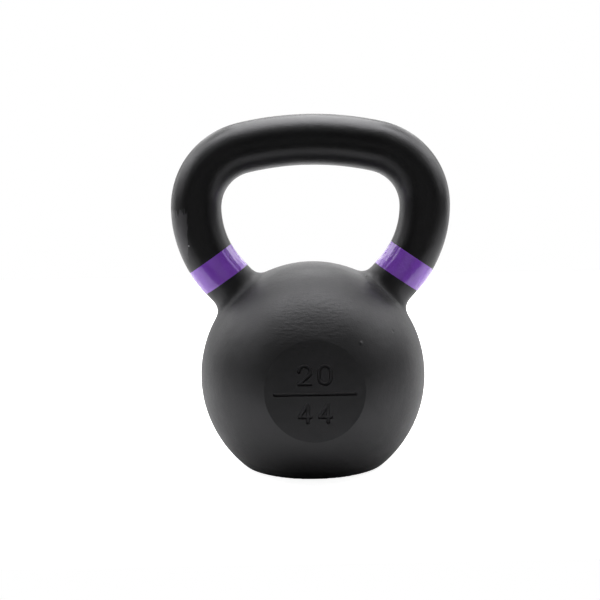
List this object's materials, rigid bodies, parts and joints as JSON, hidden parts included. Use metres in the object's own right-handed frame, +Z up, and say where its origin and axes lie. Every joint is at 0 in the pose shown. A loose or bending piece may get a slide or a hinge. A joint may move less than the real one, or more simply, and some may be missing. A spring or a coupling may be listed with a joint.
{
  "type": "kettlebell",
  "caption": "Cast-iron kettlebell: a round bell on a flat base, a flat front face with sunk weight figures, and a wide arched handle with a gloss band round each horn.",
  "frame": {"origin": "centre of the flat base, on the surface that it stands on, on the bell's own axis", "axes": "+Z up through the bell's axis and the middle of the grip; X along the handle; the flat number face looks along -Y"},
  "size_m": [0.2052, 0.1582, 0.2603],
  "materials": {
    "coated_iron": "cast iron under a thin matt black powder coat with a fine pebbled grain",
    "band_tape": "gloss purple vinyl tape, wrapped once round the horn"
  },
  "bodies": {
    "root": {"iron_casting": "coated_iron", "left_band": "band_tape", "right_band": "band_tape"}
  },
  "joints": []
}
